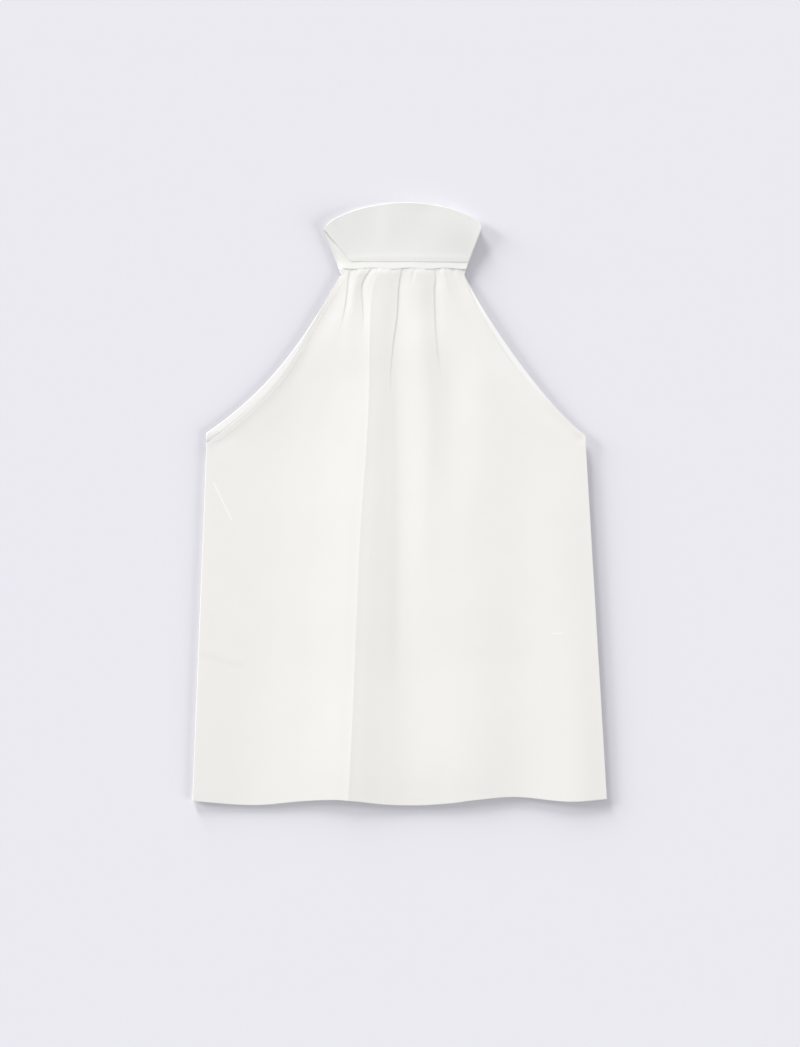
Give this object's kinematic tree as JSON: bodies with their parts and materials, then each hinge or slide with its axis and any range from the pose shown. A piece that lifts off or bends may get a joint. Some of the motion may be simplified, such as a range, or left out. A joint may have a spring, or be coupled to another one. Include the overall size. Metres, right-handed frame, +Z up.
{
  "type": "sleeveless top",
  "caption": "Ivory sleeveless halter top laid flat, with a gathered front, deep-cut armholes, a wavy flared hem and a flared stand collar folded over at its top.",
  "frame": {"origin": "on the surface that the garment lies on, under the middle of its outline", "axes": "+Z up off the surface, out of the garment's front; +Y from the hem to the collar; +X to the right as seen from above"},
  "size_m": [0.4974, 0.7229, 0.0085],
  "materials": {
    "body_cloth": "soft crepe with a faint sheen",
    "collar_cloth": "soft crepe, two layers",
    "button": "pale, smooth"
  },
  "bodies": {
    "root": {"front_panel": "body_cloth", "back_panel": "body_cloth", "collar_front": "collar_cloth", "collar_back_left": "collar_cloth", "collar_back_right": "collar_cloth", "button_lower": "button", "button_upper": "button", "button_loop_lower": "collar_cloth", "button_loop_upper": "collar_cloth"}
  },
  "joints": []
}
